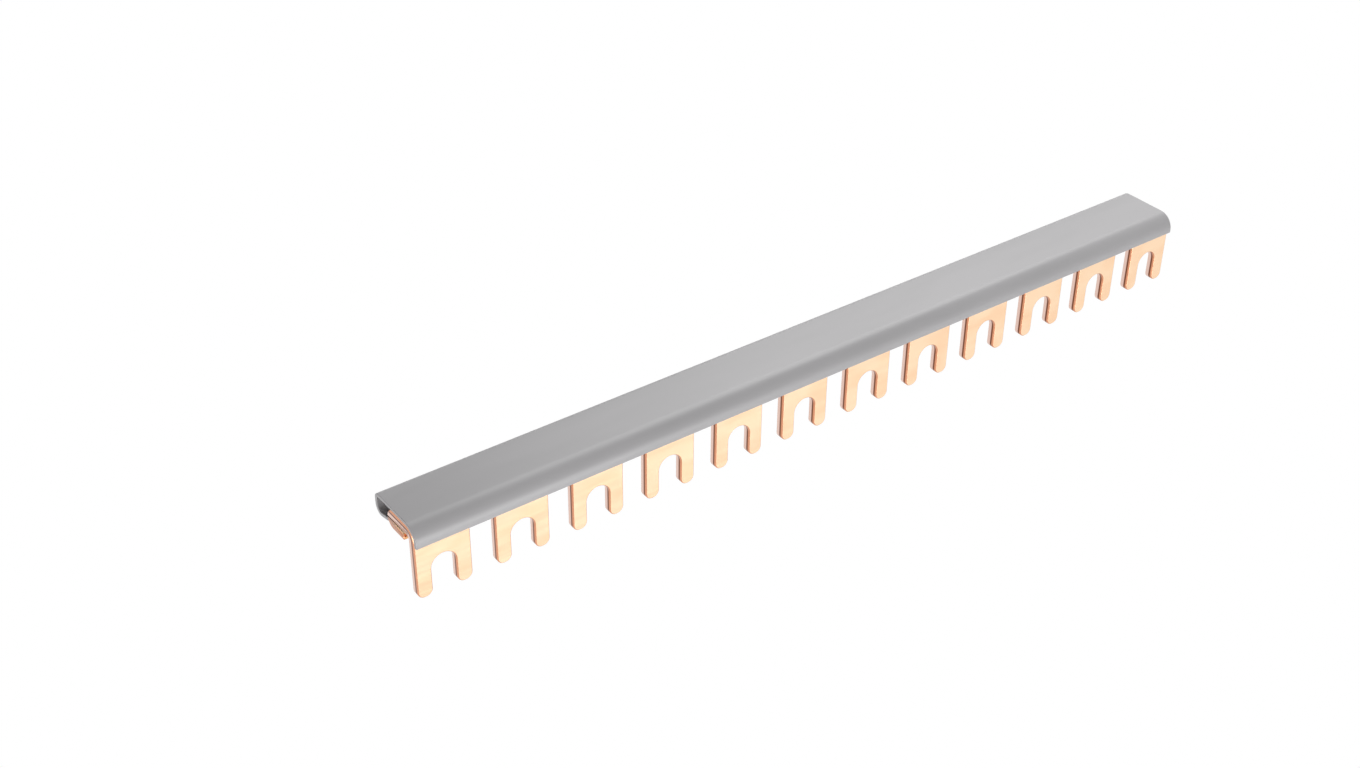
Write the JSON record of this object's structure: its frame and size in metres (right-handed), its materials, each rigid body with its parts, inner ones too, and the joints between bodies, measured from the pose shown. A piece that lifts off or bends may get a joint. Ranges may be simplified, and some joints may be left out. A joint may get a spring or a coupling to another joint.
{
  "type": "comb busbar",
  "caption": "Single-pole comb busbar: a folded copper strip with a row of slotted forks on the breaker pitch, in a clip-on grey insulating cover.",
  "frame": {"origin": "centre of the first fork's round slot end, on the contact face", "axes": "+X runs along the bar past the other forks, +Y points away from the contact face under the cover, +Z points from the prong tips to the cover"},
  "size_m": [0.2056, 0.0155, 0.0171],
  "materials": {
    "copper": "bare rolled copper, satin, with darker sheared edges",
    "cover": "grey extruded PVC, semi-matt"
  },
  "bodies": {
    "root": {"fork_comb": "copper", "insulating_cover": "cover"}
  },
  "joints": []
}
